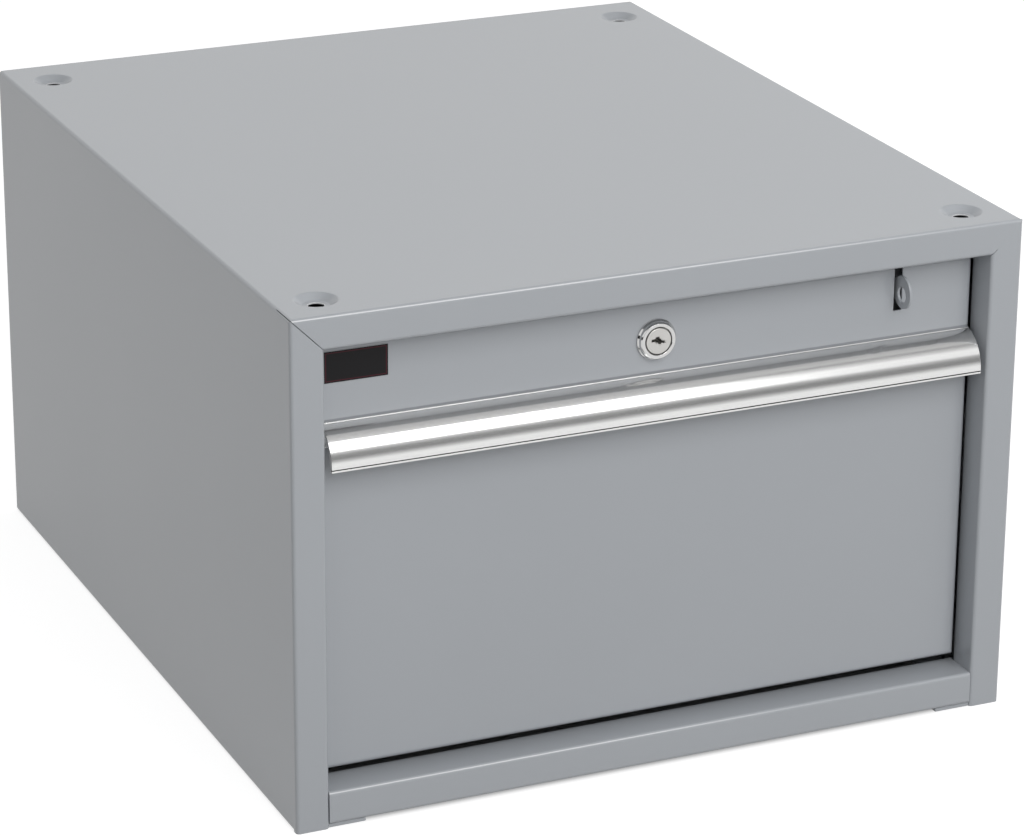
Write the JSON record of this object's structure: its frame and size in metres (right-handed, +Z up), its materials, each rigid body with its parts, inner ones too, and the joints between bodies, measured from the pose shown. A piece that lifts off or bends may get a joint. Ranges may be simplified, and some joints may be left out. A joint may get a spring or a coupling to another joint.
{
  "type": "stackable drawer box",
  "caption": "Steel drawer box with a flat bolt-through top and corner plates for stacking; one drawer on ball slides with a full-width pull, a cam lock and a padlock lug.",
  "frame": {"origin": "under the middle of the case, on the plane that it stands on", "axes": "+X to the right along the front, +Y from the drawer front to the back, +Z up; the drawer opens towards -Y"},
  "size_m": [0.438, 0.508, 0.296],
  "materials": {
    "case_paint": "light grey powder coat, satin, fine texture",
    "drawer_paint": "light grey powder coat, satin, fine texture",
    "zinc_plate": "bright zinc plate",
    "cage_steel": "plain thin strip",
    "ball_steel": "ground and polished",
    "slide_steel": "zinc plate with a light film of grease",
    "handle_aluminium": "bright finish, fine lines along its length",
    "lock_chrome": "polished plate",
    "stop_rubber": "matt",
    "label_film": "bare dark film with a dark red edge line"
  },
  "bodies": {
    "cabinet": {"case_shell": "case_paint", "back_panel": "case_paint", "bottom_front_rail": "case_paint", "bottom_rear_rail": "case_paint", "corner_plate_front_left": "case_paint", "corner_plate_front_right": "case_paint", "corner_plate_rear_left": "case_paint", "corner_plate_rear_right": "case_paint", "slide_bracket_front_left": "zinc_plate", "slide_bracket_front_right": "zinc_plate", "slide_bracket_rear_left": "zinc_plate", "slide_bracket_rear_right": "zinc_plate", "cabinet_member_left": "slide_steel", "cabinet_member_right": "slide_steel", "cabinet_slide_screws": "zinc_plate", "slide_stop_left": "stop_rubber", "slide_stop_right": "stop_rubber", "lock_strike": "zinc_plate", "padlock_lug": "case_paint"},
    "drawer": {"drawer_front": "drawer_paint", "drawer_inner_front": "drawer_paint", "drawer_floor": "drawer_paint", "drawer_side_left": "drawer_paint", "drawer_side_right": "drawer_paint", "drawer_back": "drawer_paint", "pull_handle": "handle_aluminium", "handle_rivets": "zinc_plate", "label_plate": "label_film", "lock_barrel": "lock_chrome", "lock_nut": "zinc_plate", "drawer_member_left": "slide_steel", "drawer_member_right": "slide_steel", "drawer_slide_rivets": "zinc_plate"},
    "middle_member_left": {"middle_member_left": "slide_steel"},
    "middle_member_right": {"middle_member_right": "slide_steel"},
    "outer_cage_left": {"outer_ball_cage_left": "cage_steel", "outer_balls_left": "ball_steel"},
    "outer_cage_right": {"outer_ball_cage_right": "cage_steel", "outer_balls_right": "ball_steel"},
    "inner_cage_left": {"inner_ball_cage_left": "cage_steel", "inner_balls_left": "ball_steel"},
    "inner_cage_right": {"inner_ball_cage_right": "cage_steel", "inner_balls_right": "ball_steel"},
    "lock_cylinder": {"lock_plug": "lock_chrome", "lock_cam": "zinc_plate", "cam_screw": "zinc_plate"}
  },
  "joints": [
    {"name": "drawer_slide", "type": "slide", "parent": "cabinet", "child": "drawer", "axis": [0, -1, 0], "range_m": [0, 0.44]},
    {"name": "middle_member_left_slide", "type": "slide", "parent": "cabinet", "child": "middle_member_left", "axis": [0, -1, 0], "range_m": [0, 0.22]},
    {"name": "middle_member_right_slide", "type": "slide", "parent": "cabinet", "child": "middle_member_right", "axis": [0, -1, 0], "range_m": [0, 0.22]},
    {"name": "outer_cage_left_slide", "type": "slide", "parent": "cabinet", "child": "outer_cage_left", "axis": [0, -1, 0], "range_m": [0, 0.11]},
    {"name": "outer_cage_right_slide", "type": "slide", "parent": "cabinet", "child": "outer_cage_right", "axis": [0, -1, 0], "range_m": [0, 0.11]},
    {"name": "inner_cage_left_slide", "type": "slide", "parent": "cabinet", "child": "inner_cage_left", "axis": [0, -1, 0], "range_m": [0, 0.33]},
    {"name": "inner_cage_right_slide", "type": "slide", "parent": "cabinet", "child": "inner_cage_right", "axis": [0, -1, 0], "range_m": [0, 0.33]},
    {"name": "lock_turn", "type": "hinge", "parent": "drawer", "child": "lock_cylinder", "pos_m": [0, -0.2375, 0.25], "axis": [0, 1, 0], "range_deg": [0, 90]}
  ],
  "couplings": [
    {"joint": "middle_member_left_slide", "follows": "drawer_slide", "ratio": 0.5},
    {"joint": "middle_member_right_slide", "follows": "drawer_slide", "ratio": 0.5},
    {"joint": "outer_cage_left_slide", "follows": "drawer_slide", "ratio": 0.25},
    {"joint": "outer_cage_right_slide", "follows": "drawer_slide", "ratio": 0.25},
    {"joint": "inner_cage_left_slide", "follows": "drawer_slide", "ratio": 0.75},
    {"joint": "inner_cage_right_slide", "follows": "drawer_slide", "ratio": 0.75}
  ]
}
